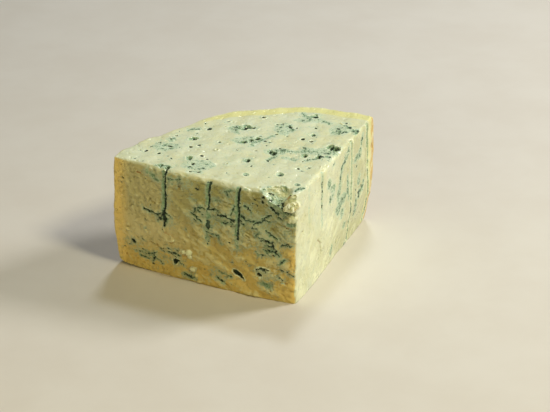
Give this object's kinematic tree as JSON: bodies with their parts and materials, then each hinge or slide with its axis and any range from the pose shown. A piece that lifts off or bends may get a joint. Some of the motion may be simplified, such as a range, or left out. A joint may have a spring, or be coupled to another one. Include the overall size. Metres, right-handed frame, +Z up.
{
  "type": "blue cheese wedge",
  "caption": "Quarter wedge of a half-height blue cheese wheel: two veined cut faces, a pierced level top, a thin golden rind and a crumbled tip.",
  "frame": {"origin": "under the middle of the footprint, on the plane that the wedge rests on", "axes": "+Z up out of the level cut, +Y from the tip towards the middle of the rind, +X to the right seen from the tip"},
  "size_m": [0.198, 0.1464, 0.0859],
  "materials": {
    "cheese": "moist"
  },
  "bodies": {
    "root": {"cheese_wedge": "cheese"}
  },
  "joints": []
}
